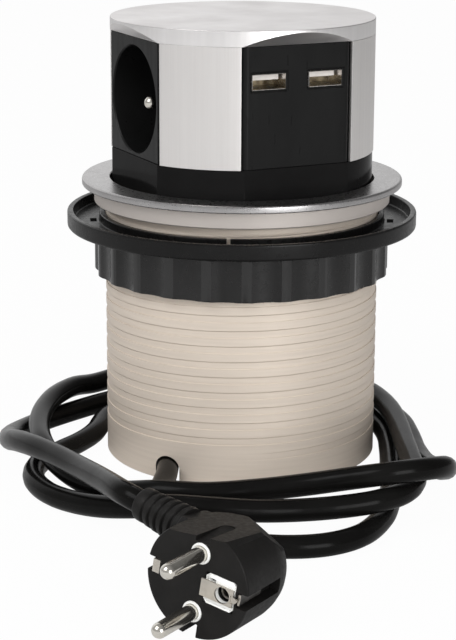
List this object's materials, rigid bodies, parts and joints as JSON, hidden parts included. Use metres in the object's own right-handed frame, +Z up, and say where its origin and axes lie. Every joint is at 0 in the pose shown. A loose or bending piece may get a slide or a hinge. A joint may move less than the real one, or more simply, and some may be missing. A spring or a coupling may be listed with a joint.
{
  "type": "pop up desk socket",
  "caption": "Round pop up desk socket: a sprung head with earthed sockets and charging ports in a threaded tube, clamped by a flange and nut, with a coiled cord and plug.",
  "frame": {"origin": "centre of the tube's base, on the surface it stands on", "axes": "+Z up along the tube's axis, -Y out of the face with the charging ports, -X, +X and +Y out of the sockets"},
  "size_m": [0.1783, 0.2517, 0.1613],
  "materials": {
    "tube_metal": "satin champagne nickel",
    "flange_metal": "satin",
    "panel_metal": "fine brushed",
    "cap_metal": "fine brushed",
    "black_matte": "matte",
    "black_satin": "satin",
    "black_face": "fine grain",
    "black_gloss": "gloss",
    "plug_black": "fine grain",
    "cord_black": "satin",
    "flex_sheath": "matte",
    "nickel": "polished nickel",
    "steel": "plain",
    "brass": "plain",
    "white_plastic": "satin",
    "pale_plastic": "satin",
    "board_green": "satin"
  },
  "bodies": {
    "base": {"bottom_cover": "black_matte", "cover_screws": "steel", "outer_tube": "tube_metal", "flange_ring": "flange_metal", "guide_rail_left": "black_matte", "guide_rail_right": "black_matte", "latch_body": "pale_plastic", "latch_spring": "steel", "lift_spring": "steel", "cord_clamp": "black_matte", "clamp_screws": "steel", "inner_flex": "flex_sheath", "cord": "cord_black", "plug_boot": "plug_black", "plug_body": "plug_black", "plug_pins": "nickel", "plug_collars": "white_plastic", "plug_earth_frame": "white_plastic", "plug_earth_plate": "nickel", "plug_clips": "nickel"},
    "latch": {"latch_plunger": "pale_plastic"},
    "pressure_ring": {"clamp_ring": "black_satin"},
    "nut": {"lock_nut": "black_satin"},
    "head": {"head_base": "black_matte", "base_screws": "steel", "latch_striker": "pale_plastic", "head_collar": "black_gloss", "head_frame": "black_matte", "socket_left": "black_face", "socket_right": "black_face", "socket_rear": "black_face", "earth_pin_left": "nickel", "earth_pin_right": "nickel", "earth_pin_rear": "nickel", "contacts_left": "brass", "contacts_right": "brass", "contacts_rear": "brass", "panel_front_left": "panel_metal", "panel_front_right": "panel_metal", "panel_rear_left": "panel_metal", "panel_rear_right": "panel_metal", "usb_face": "black_face", "usb_shell_left": "nickel", "usb_shell_right": "nickel", "usb_tongue_left": "white_plastic", "usb_tongue_right": "white_plastic", "usb_board": "board_green", "top_cap": "cap_metal"}
  },
  "joints": [
    {"name": "head_slide", "type": "slide", "parent": "base", "child": "head", "axis": [0, 0, 1], "range_m": [-0.0581, 0], "stiffness_N_per_m": 120, "springref_m": 0.08, "deforming": ["lift_spring", "inner_flex"]},
    {"name": "latch_press", "type": "slide", "parent": "base", "child": "latch", "axis": [0, 0, 1], "range_m": [-0.0035, 0], "stiffness_N_per_m": 400, "springref_m": 0.002, "deforming": ["latch_spring"]},
    {"name": "ring_slide", "type": "slide", "parent": "base", "child": "pressure_ring", "axis": [0, 0, 1], "range_m": [-0.042, 0.0066]},
    {"name": "nut_turn", "type": "hinge", "parent": "pressure_ring", "child": "nut", "pos_m": [0, 0, 0.0767], "axis": [0, 0, 1], "range_deg": [-2702, 426]}
  ],
  "couplings": [
    {"joint": "nut_turn", "follows": "ring_slide", "rad_per_m": 1122}
  ]
}
